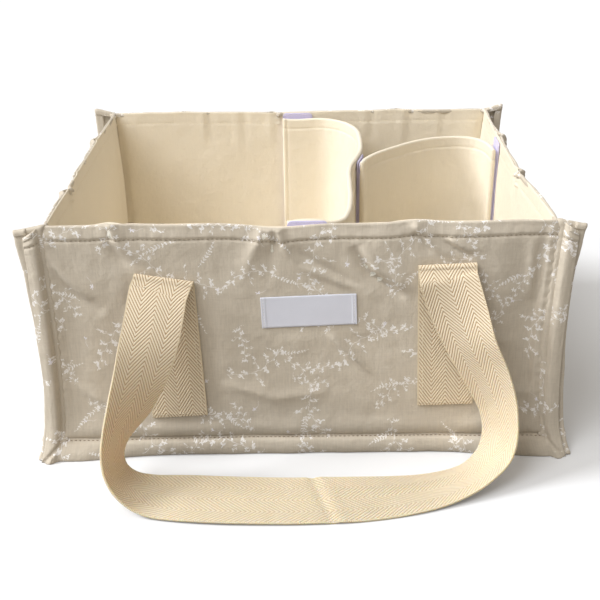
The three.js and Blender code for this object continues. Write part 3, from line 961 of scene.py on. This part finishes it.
def liningPoint(wall):
    half = walls[wall]["half"] - body["stack"] - (0 if wall in longWalls else 0.1)
    roll = liningShape["roll"]
    top = body["height"] - roll - liningShape["below"]

    def place(s, h):
        # s runs from one end of the wall to the other, seen from inside
        z, over = h, 0.0
        if h > top:
            ahead, over = rolledOver(min(h - top, pi * roll), roll)
            z = top + ahead
        out = innerShape(wall, -s, min(z, 179.4))
        u = -s * (half + max(0.0, out + over + body["stack"])) / half
        return wallPoint(wall, u, z, out + over)

    return place, half


def makeLining(wall):
    place, half = liningPoint(wall)
    sheetPiece(
        wall + "Lining", edged(-half, half, 8, 1.2, 3.0), liningRows, place, "lining",
        liningShape["thickness"], [wall + "_lining"],
    )


def makeBaseLining():
    base = liningShape["base"]
    x, y = base["halfX"], base["halfY"]

    def place(u, v):
        edge = min(x - abs(u), y - abs(v))
        puff = 0.5 * crumple(u, v, 43, 70, 24) * soft(edge, 0, 24)
        channel = 0.9 * bell(edge - base["channelIn"], 1.4)
        return u, v, base["level"] + puff * 0.5 - channel - 0.9 * exp(-edge / 3.5)

    sheetPiece(
        "baseLining", edged(-x, x, 14, 1.3, 4.5), edged(-y, y, 14, 1.3, 4.5), place, "lining",
        liningShape["thickness"], ["base_lining"],
    )


padShape = dict(
    low=15.0, high=177.6, endGap=1.3, sideEndGap=4.6, fill=0.5, underCloth=1.05, overLining=0.95,
    base=dict(halfX=175.5, halfY=157.5, foot=3.5, top=12.8, round=2.6, fill=0.7),
)


def makeWallPadding(wall):
    # foam between the cloths, thin where they are sewn together
    reach = walls[wall]["half"] - padShape["endGap" if wall in longWalls else "sideEndGap"]
    low, high = padShape["low"], padShape["high"]
    rows = spaced((low, low + 4, 1.3), (low + 4, 164, 4.0), (164, high, 1.4))
    count = len(rows) - 1

    def place(s, k):
        z = rows[count - abs(k)]
        outside = outerShape(wall, s, z) - padShape["underCloth"]
        inside = innerShape(wall, s, z) + padShape["overLining"]
        thick = max(0.15, (outside - inside) / 2) if 0 < abs(k) < count else 0.0
        thick *= soft(reach - abs(s), 0, 1.5) ** 0.5
        return wallPoint(wall, s, z, (outside + inside) / 2 + (thick if k > 0 else -thick))

    us = edged(-reach, reach, 4, 1.0, 5.0)
    paddedBand(
        wall + "Padding", us, rows, place, lambda u, v: (u, v * 4), "foam", padShape["fill"], "basket",
        [wall + "_foam"],
    )


def makeBasePadding():
    pad = padShape["base"]
    mesh = bmesh.new()
    put = Matrix.Translation((0, 0, (pad["foot"] + pad["top"]) / 2 * mm)) @ Matrix.Diagonal(
        (2 * pad["halfX"] * mm, 2 * pad["halfY"] * mm, (pad["top"] - pad["foot"]) * mm, 1)
    )
    bmesh.ops.create_cube(mesh, size=1, matrix=put, calc_uvs=False)
    bmesh.ops.bevel(
        mesh, geom=mesh.edges[:], offset=pad["round"] * mm, segments=4, profile=0.5, affect="EDGES", material=-1,
    )
    mesh.loops.layers.uv.new("cloth")
    piece = addObject("basePadding", mesh, "foam")
    settle(piece, "basket", ["base_foam"])


for wallName in walls:
    makeLining(wallName)
print("lining turned over the rim")
for wallName in walls:
    makeWallPadding(wallName)
makeBasePadding()
makeBaseLining()
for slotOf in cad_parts["base_board"].material_slots:
    slotOf.material = finishes["board"]["material"]
print("padding laid in")

labelShape = dict(width=67, height=23.5, middle=5, centre=116, tilt=2, hem=3.0, seam=1.7, thickness=0.45)


def labelPoint(u, v):
    c, s = cos(radians(labelShape["tilt"])), sin(radians(labelShape["tilt"]))
    x = labelShape["middle"] + u * c - v * s
    z = labelShape["centre"] + u * s + v * c
    edge = labelShape["width"] / 2 - abs(u)
    doubled = 0.3 * soft(-edge, -labelShape["hem"] - 0.5, -labelShape["hem"] + 0.2)
    sewn = 0.22 * bell(edge - labelShape["seam"], 0.5)
    lift = 0.25 * soft(abs(v), 6, labelShape["height"] / 2) * abs(noiseAt(u / 9, v / 20, 3))
    sag = 0.15 * sin(u * 0.11 + 1.2) * (1 - (2 * v / labelShape["height"]) ** 2)
    base = max(outerShape("front", x, z), -0.2)
    return x, -body["halfDepth"] - base - 0.75 - doubled + sewn - lift - max(0.0, sag), z


def makeLabel():
    w, h, seam = labelShape["width"] / 2, labelShape["height"] / 2, labelShape["seam"]
    sheetPiece(
        "wovenLabel", edged(-w, w, 4.5, 0.45, 1.4), spaced((-h, h, 1.1)), labelPoint, "satin",
        labelShape["thickness"], ["label"],
    )
    runs = []
    for u in (seam - w, w - seam):
        run = [labelPoint(u, v) for v in spaced((-h + 1.2, h - 1.2, 1.0))]
        runs.append([((x, y - 0.1, z), (0, -1, 0)) for x, y, z in run])
    stitchRow("labelStitches", runs, "whiteThread", "label")


makeLabel()

strap = dict(
    width=40, thickness=1.4, face=-161.25, bend=1.75, past=14.0, sewnIn=16.5, sewnUp=2.5, onFloor=0.9,
    wallClear=-165,
    ends=[
        dict(foot=(-89.4, 33.4), fold=(-94.35, 141.1), lean=-9.0),
        dict(foot=(103.0, 40.8), fold=(100.3, 148.6), lean=2.1),
    ],
)
# middle of the webbing and the direction across it, from the left fold round to the right one
route = [
    (-103.2, -186.8, 110.1, 0.95, 0.09, -0.31), (-109.7, -202.1, 86.6, 0.79, 0.42, -0.44),
    (-117.3, -208.3, 66.2, 0.65, 0.65, -0.40), (-125.2, -210.7, 49.1, 0.45, 0.84, -0.30),
    (-129.5, -212.0, 37.9, 0.31, 0.93, -0.22), (-130.8, -213.9, 27.6, 0.20, 0.96, -0.19),
    (-128.1, -216.2, 18.5, 0.17, 0.97, -0.18), (-121.0, -218.7, 11.6, 0.22, 0.97, -0.09),
    (-110.2, -221.4, 7.4, 0.26, 0.96, 0.09), (-97.0, -224.6, 6.2, 0.22, 0.95, 0.24),
    (-78.0, -228.4, 7.2, 0.14, 0.95, 0.29), (-52.1, -231.1, 7.5, 0.05, 0.96, 0.29),
    (-25.1, -232.0, 7.3, 0.02, 0.96, 0.28), (0.9, -232.0, 7.1, -0.01, 0.96, 0.28),
    (35.7, -229.6, 6.3, -0.12, 0.96, 0.25), (66.1, -223.0, 4.3, -0.27, 0.95, 0.14),
    (89.7, -214.9, 3.0, -0.37, 0.93, 0.02), (110.0, -206.1, 4.2, -0.41, 0.90, -0.13),
    (123.5, -199.2, 7.4, -0.41, 0.88, -0.24), (133.8, -192.3, 13.8, -0.42, 0.87, -0.25),
    (138.6, -187.6, 21.8, -0.44, 0.86, -0.26), (140.1, -183.8, 31.8, -0.47, 0.85, -0.26),
    (138.7, -180.8, 43.8, -0.53, 0.80, -0.27), (134.6, -178.8, 57.3, -0.64, 0.70, -0.31),
    (126.2, -177.8, 76.9, -0.74, 0.56, -0.36), (116.1, -177.5, 97.5, -0.78, 0.48, -0.39),
    (107.5, -173.6, 120.6, -0.91, 0.23, -0.33),
]


def foldedEnd(end):
    # a sewn end, over its fold and a little down the leg, as a flat strip folded on a slanted line
    foot, fold, lean = Vector(end["foot"]), Vector(end["fold"]), radians(end["lean"])
    along = (fold - foot).normalized()
    upNormal = Vector((-sin(lean), cos(lean)))
    face, r = strap["face"], strap["bend"]

    def place(across, s):
        flat = foot + along * s + Vector((along.y, -along.x)) * across
        q = (flat - fold).dot(upNormal)
        if q <= 0:
            return Vector((flat.x, face, flat.y))
        ahead, back = rolledOver(q, r)
        spot = flat - upNormal * q + upNormal * ahead
        forward = 0.45 * max(0.0, q - pi * r - 1) ** 1.15
        return Vector((spot.x, face - back - forward, spot.y + forward * 0.25))

    return place, (fold - foot).length + strap["past"]


def curveThrough(stations, at):
    # a smooth value through evenly numbered stations
    i = min(len(stations) - 2, max(0, int(at)))
    t = at - i
    a, b = stations[i], stations[i + 1]
    before = stations[i - 1] if i > 0 else a
    after = stations[i + 2] if i + 2 < len(stations) else b
    bend = 2 * before - 5 * a + 4 * b - after
    return 0.5 * (2 * a + (b - before) * t + bend * t * t + (3 * a - before - 3 * b + after) * t ** 3)


def stretchAt(marks, s):
    # which stretch between two marks s falls in, and how far along it
    k = next((j for j in range(1, len(marks)) if marks[j] >= s), len(marks) - 1)
    return k, (s - marks[k - 1]) / max(1e-9, marks[k] - marks[k - 1])


def strapCrease(share, across):
    # a soft fold across the grip, slanted
    at = (share - 0.507) * 560 + across * 0.28
    return 1.3 * bell(at, 2.6) - 0.5 * bell(at - 7, 6)


def makeStrap(wall):
    side = 1 if wall == "back" else -1
    (leftPlace, leftLength), (rightPlace, rightLength) = (foldedEnd(end) for end in strap["ends"])
    half, past = strap["width"] / 2, strap["past"]

    def turned(p):
        # the back handle is the front one turned round
        return -side * p.x, -side * p.y, p.z

    def taken(place, length):
        # middle, and direction across, of the stations that the leg takes over from a sewn end
        pairs = [(place(-half, s), place(half, s)) for s in (length - 3, length)]
        return [((a + b) / 2, (b - a).normalized()) for a, b in pairs]

    stations = taken(leftPlace, leftLength)
    stations += [(Vector(p[:3]), Vector(p[3:]).normalized()) for p in route]
    stations += [(m, -w) for m, w in reversed(taken(rightPlace, rightLength))]
    middles, acrosses = [m for m, _ in stations], [w for _, w in stations]
    # lengths along the middle line, so that cloth coordinates keep their scale
    last = len(stations) - 1.0
    samples = [i / 12 for i in range(int(last) * 12 + 1)]
    lengths = [0.0]
    for a, b in zip(samples, samples[1:]):
        lengths.append(lengths[-1] + (curveThrough(middles, b) - curveThrough(middles, a)).length)
    free = lengths[-1]
    total = leftLength + free + rightLength
    legEnd = total - rightLength

    def legPoint(across, s):
        k, share = stretchAt(lengths, s)
        at = samples[k - 1] + share * (samples[k] - samples[k - 1])
        middle, width = curveThrough(middles, at), curveThrough(acrosses, at)
        ahead = curveThrough(middles, min(last, at + 0.05)) - curveThrough(middles, max(0.0, at - 0.05))
        ahead.normalize()
        width = (width - ahead * width.dot(ahead)).normalized()
        cup = 0.5 * (abs(across) / half) ** 2 * sin(s / 41) + 0.5 * noiseAt(s / 45, across / 60, 2)
        fade = soft(s, 3, 25) * soft(free - s, 3, 25)
        return middle + width * across + width.cross(ahead) * ((cup + strapCrease(s / free, across)) * fade)

    def place(across, v):
        if v <= leftLength:
            p = leftPlace(across, v)
        elif v >= legEnd:
            p = rightPlace(-across, total - v)
        else:
            p = legPoint(across, v - leftLength)
        if p.z < strap["onFloor"] and p.y < strap["wallClear"]:
            p.z = strap["onFloor"] - (strap["onFloor"] - p.z) * 0.15
        return turned(p)

    us = [-20, -19.6, -18.6, -15, -10, -5, 0, 5, 10, 15, 18.6, 19.6, 20]
    leftBend, rightBend = leftLength - past - 6, legEnd + past + 6
    vs = spaced(
        (0, leftBend, 3.0), (leftBend, leftLength, 0.5), (leftLength, legEnd, 2.6), (legEnd, rightBend, 0.5),
        (rightBend, total, 3.0),
    )
    piece = sheetPiece(
        wall + "Strap", us, vs, place, "webbing", strap["thickness"],
        flat=lambda u, v: (u + half, v), offset=0,
    )
    roundEdges(piece, 0.35)
    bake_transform(piece)
    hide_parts(*(wall + "_handle_" + part for part in ("left_end", "right_end", "loop")))
    runs = []
    x, low = strap["sewnIn"], strap["sewnUp"]
    for endPlace, endLength in ((leftPlace, leftLength), (rightPlace, rightLength)):
        top = endLength - past - 5
        box = [(-x, low), (x, low), (x, top), (-x, top), (-x, low)]
        run = []
        for (a, s), (b, t) in zip(box, box[1:]):
            for k in range(9):
                p = endPlace(a + (b - a) * k / 8, s + (t - s) * k / 8)
                run.append((turned(Vector((p.x, strap["face"] - 0.85, p.z))), (0, side, 0)))
        runs.append(run)
    stitchRow(wall + "StrapStitches", runs, "creamThread", "strap")


for wallName in longWalls:
    makeStrap(wallName)
print("straps sewn on")

dividers = dict(
    flap=28, longBack=52, longFront=37.5, backBend=(60, 40), frontBend=(80, 19), pull=0.6, waist=(60, -35, 40),
    grip=12, start=20, end=50, rise=70, lean=53, drop=43, wallX=168.1, wallY=150.1, thickness=4.0, halfThick=2.15,
    beside=7.3, foot=14.6, top=175, hem=166, round=1.6, endRound=1.4, fill=0.4,
)
tape = dict(
    gap=0.3, thick=1.2, shown=1.15, foot=20, top=173, corner=3.5, wide=28, narrow=26,
    wallTop=dict(back=178.5, front=180.5, right=178.5),
)


def bezier(a, b, c, d, count=40):
    steps = [i / count for i in range(1, count + 1)]
    return [(1 - t) ** 3 * a + 3 * (1 - t) ** 2 * t * b + 3 * (1 - t) * t * t * c + t ** 3 * d for t in steps]


def bendTo(start, corner, end):
    return bezier(start, start.lerp(corner, dividers["pull"]), end.lerp(corner, dividers["pull"]), end)


def straight(a, b):
    count = max(1, round((b - a).length / 2))
    return [a.lerp(b, (i + 1) / count) for i in range(count)]


def drawn(line, *path):
    # a line lengthened by stretches, each given by its kind and its corners
    for draw, *corners in path:
        line += draw(line[-1], *(Vector(corner) for corner in corners))
    return line


def longLine():
    d = dividers
    wallY, back, front = d["wallY"], d["longBack"], d["longFront"]
    flapX, frontX = back - d["backBend"][1], front - d["frontBend"][1]
    high, low, ease = d["waist"]
    return drawn(
        [Vector((flapX - d["flap"], wallY))],
        (straight, (flapX, wallY)),
        (bendTo, (back, wallY), (back, wallY - d["backBend"][0])),
        (straight, (back, high)),
        (bezier, (back, high - ease), (front, low + ease), (front, low)),
        (straight, (front, -wallY + d["frontBend"][0])),
        (bendTo, (front, -wallY), (frontX, -wallY)),
        (straight, (frontX - d["flap"], -wallY)),
    )


class Track:
    # a line seen from above, read by the distance along it
    def __init__(self, points):
        self.points = points
        self.at = [0.0]
        for a, b in zip(points, points[1:]):
            self.at.append(self.at[-1] + (b - a).length)
        self.length = self.at[-1]

    def place(self, s, right=0.0):
        k, share = stretchAt(self.at, min(self.length, max(0.0, s)))
        point = self.points[k - 1].lerp(self.points[k], share)
        along = self.points[min(k + 1, len(self.points) - 1)] - self.points[max(0, k - 2)]
        along.normalize()
        return point + Vector((along.y, -along.x)) * right

    def travelAt(self, depth):
        for a, b, s in zip(self.points, self.points[1:], self.at):
            if b.y < depth:
                return s + (b - a).length * (a.y - depth) / max(1e-9, a.y - b.y)
        return self.length


longTrack = Track(longLine())


def crossLine():
    d = dividers
    leave, wallX, end = longTrack.travelAt(d["start"]), d["wallX"], d["end"]
    line = [longTrack.place(leave + d["grip"] * (1 - i / 6), -d["beside"]) for i in range(7)]
    leaving = line[-1] + Vector((d["lean"], d["rise"]))
    return drawn(
        line, (bezier, leaving, (wallX, end + d["drop"]), (wallX, end)), (straight, (wallX, end - d["grip"])),
    )


crossTrack = Track(crossLine())


def withRightWall(point, z):
    # what stands by the right wall leans in with it
    waist = point.x - waisted(point.x, 0, z)[0]
    lean = soft(point.x, 60, 168) * (wallBow("right", point.y, min(z, body["height"])) + waist)
    return Vector((point.x - lean, point.y))


def raised(rows, s, z):
    return humps(rows, s) * soft(z, 90, 175)


def makeDivider(kind, seed):
    d, track, bodyName = dividers, tracks[kind], kind + "_divider"
    foot, top, hem = d["foot"], d["top"], d["hem"]
    rows = spaced(
        (foot, foot + 3, 0.8), (foot + 3, 158, 4.2), (158, 163.5, 1.5), (163.5, 168.5, 0.55), (168.5, 172, 1.0),
        (172, top, 0.4),
    )
    count = len(rows) - 1

    def place(s, k):
        z = rows[count - abs(k)]
        end = min(s, track.length - s)
        half = d["halfThick"]
        for inside, radius in ((top - z, d["round"]), (z - foot, d["round"]), (end, d["endRound"])):
            half *= sqrt(max(0.0, 1 - max(0.0, 1 - inside / radius) ** 2))
        half *= (1 - 0.22 * bell(z - hem, 1.1)) * (1 - 0.1 * soft(z, hem - 1, hem + 3))
        half *= 1 - 0.3 * bell(end - 4.2, 0.9)
        if half < 0.01:
            half = 0.0
        sway = 0.8 * crumple(s, z, seed, 52, 20) * soft(end, 14, 44)
        sway += 0.3 * pucker(s, 0.5, 4, 26, seed, 1) * exp(-abs(z - hem + 2) / 6)
        spot = withRightWall(track.place(s, (half if k > 0 else -half) + sway * soft(end, 22, 40)), z)
        return spot.x, spot.y, z + raised(lifts[kind], s, z)

    def flat(u, v):
        return u, rows[count - abs(v)] + (400 if v > 0 else 0)

    paddedBand(
        kind + "Divider", edged(0, track.length, 6, 0.6, 3.0), rows, place, flat, "lining", d["fill"], bodyName,
        [bodyName + "_sleeve", bodyName + "_core"],
    )
    runs = []
    for k in (1, -1):
        run = []
        for s in spaced((3, track.length - 3, 2.0)):
            p, q = (withRightWall(track.place(s, k * out), hem) for out in (1.35, 3.0))
            run.append(((*p, hem + raised(lifts[kind], s, hem)), (*(q - p), 0.0)))
        runs.append(run)
    stitchRow(kind + "DividerStitches", runs, "creamThread", "divider", bodyName)


tracks = dict(long=longTrack, cross=crossTrack)
longEnd, crossEnd = longTrack.length, crossTrack.length
lifts = dict(
    long=[(14, -1.0, 14), (longEnd - 14, 5.5, 26), (longEnd * 0.3, 0.8, 30)],
    cross=[(crossEnd * 0.5, 1.0, 36), (8, -1.5, 12), (crossEnd - 14, -2.0, 18)],
)
makeDivider("long", 51.0)
makeDivider("cross", 63.0)
print("dividers set in")


def makeTapePiece(name, replaced, bodyName, track, start, stop, offset, high, raises):
    low, corner = tape["foot"], tape["corner"]

    def place(s, h):
        edge = min(s - start, stop - s)
        cut = corner - sqrt(max(0.0, corner ** 2 - max(0.0, corner - edge) ** 2))
        z = low + cut + (high - low - 2 * cut) * (h - low) / (high - low)
        spot = withRightWall(track.place(s, offset), z)
        return spot.x, spot.y, z + raised(raises, s, z)

    us, vs = edged(start, stop, corner, 0.6, 2.2), edged(low, high, 4, 1.0, 6.0)
    piece = sheetPiece(name, us, vs, place, "tape", tape["shown"], offset=0)
    roundEdges(piece, 0.3)
    settle(piece, bodyName, [replaced])


own = -dividers["thickness"] / 2 - tape["gap"] - tape["thick"] / 2
other = own - tape["thick"] - tape["gap"]
wide, narrow = tape["wide"], tape["narrow"]
besideCross = longTrack.travelAt(dividers["start"]) - (wide - dividers["grip"])
wallTrack = Track([crossTrack.points[-1] + Vector((0, wide)), crossTrack.points[-1]])
# where each tape starts and stops along the line of its divider
for kind, name, part, start, stop in (
    ("long", "BackHooks", "back_hook_tape", 0.5, wide),
    ("long", "FrontHooks", "front_hook_tape", longEnd - wide, longEnd - 0.5),
    ("cross", "LeftHooks", "left_hook_tape", 2.5, wide),
    ("cross", "RightHooks", "right_hook_tape", crossEnd - wide, crossEnd - 2.5),
    ("long", "SideLoops", "loop_tape", besideCross, besideCross + narrow),
):
    bodyName = kind + "_divider"
    makeTapePiece(
        kind + name, bodyName + "_" + part, bodyName, tracks[kind], start, stop, own, tape["top"], lifts[kind],
    )
for wallName, track, start, stop in (
    ("back", longTrack, 0, wide), ("front", longTrack, longEnd - wide, longEnd), ("right", wallTrack, 0, narrow),
):
    makeTapePiece(
        wallName + "WallLoops", wallName + "_wall_loop_tape", "basket", track, start, stop, other,
        tape["wallTop"][wallName], [],
    )
print("tapes sewn")

normals = dict(front=(0, -1, 0), back=(0, 1, 0), left=(-1, 0, 0), right=(1, 0, 0))


def seamRun(place, outward, alongs, heights):
    # a sewn line, just clear of the cloth
    return [(Vector(place(a, h)) + Vector(outward) * 0.05, outward) for a in alongs for h in heights]


def makeWallStitches():
    hems, seams, insides = [], [], []
    for wall, normal in normals.items():
        half, place = walls[wall]["half"], outerPoint(wall)
        reach = half + 9 if wall in longWalls else half - 4.5
        hems.append(seamRun(place, normal, spaced((-reach, reach, 1.5)), [body["hem"]]))
        seams.append(seamRun(place, normal, spaced((-half + 2, half - 2, 1.5)), [body["seam"] - 0.9]))
        if wall in longWalls:
            seams += [seamRun(place, normal, [a], spaced((16, 178, 1.5))) for a in (-half - 0.6, half + 0.6)]
        place, half = liningPoint(wall)
        inward = tuple(-c for c in normal)
        insides.append(seamRun(place, inward, spaced((-half + 1, half - 1, 2.0)), [body["hem"]]))
    stitchRow("hemStitches", hems, "paleThread", "outer")
    # the seam stitches are dark partly from their own brown and partly from painted shade of the seam grooves
    stitchRow("seamStitches", seams, "brownThreadWithPaintedShade", "outer")
    stitchRow("liningStitches", insides, "creamThread", "lining")


makeWallStitches()
print("stitches placed")

shot = dict(place=(0.00039, -0.8526, 0.4279), pitch=23.68, yaw=-0.131, roll=0.746, lens=65.127)
studio = dict(
    floorSize=12, floor=(0.37, 0.36, 0.345), floorSeen=(0.755, 0.77, 0.79), glow=0.08,
    fill=(1.0, 0.925, 0.83, 1), fillStrength=0.45, sunColour=(0.98, 0.985, 1.0),
    suns=dict(keySun=((0.80, 0.08, -0.59), 2.6, 22), softSun=((0.46, 0.47, -0.75), 1.6, 34)),
)


def makeCamera():
    data = bpy.data.cameras.new("photoCamera")
    adjusted(data, lens=shot["lens"], sensor_width=36, sensor_fit="HORIZONTAL", clip_start=0.01)
    camera = newObject("photoCamera", data)
    turn = Matrix.Rotation(radians(-shot["yaw"]), 4, "Z") @ Matrix.Rotation(radians(90 - shot["pitch"]), 4, "X")
    turn = turn @ Matrix.Rotation(radians(-shot["roll"]), 4, "Z")
    camera.matrix_world = Matrix.Translation(shot["place"]) @ turn
    bpy.context.scene.camera = camera


def makeFloor():
    material, shader = newMaterial("whiteFloor")
    seen = Signal(node("LightPath").outputs["Is Camera Ray"])
    colour = mixed(seen, studio["floor"], studio["floorSeen"])
    feedAll(shader, {
        "Base Color": colour, "Roughness": 0.9, "Specular IOR Level": 0.0, "Emission Color": (1, 1, 1, 1),
        "Emission Strength": seen * studio["glow"],
    })
    mesh = bmesh.new()
    bmesh.ops.create_grid(mesh, x_segments=1, y_segments=1, size=studio["floorSize"])
    newObject("studioFloor", asData("studioFloor", mesh, material))


def makeSun(name, aim, strength, angle):
    data = bpy.data.lights.new(name, "SUN")
    adjusted(data, energy=strength, angle=radians(angle), color=studio["sunColour"])
    newObject(name, data).rotation_euler = Vector(aim).to_track_quat("-Z", "Y").to_euler()


def makeWorld():
    world = bpy.data.worlds.new("softStudio")
    bpy.context.scene.world = world
    world.use_nodes = True
    bench["tree"] = world.node_tree
    world.node_tree.nodes.clear()
    path = node("LightPath").outputs
    seen = larger(path["Is Camera Ray"], path["Is Transmission Ray"])
    fill = node("Background", dict(Color=studio["fill"], Strength=studio["fillStrength"])).outputs[0]
    backdrop = node("Background", dict(Color=(1, 1, 1, 1))).outputs[0]
    mix = node("MixShader", {0: seen, 1: fill, 2: backdrop})
    node("OutputWorld", {0: mix.outputs[0]})


makeCamera()
makeFloor()
for sunName, sun in studio["suns"].items():
    makeSun(sunName, *sun)
makeWorld()
bpy.context.scene.view_settings.view_transform = "Standard"
print("camera and lights set")
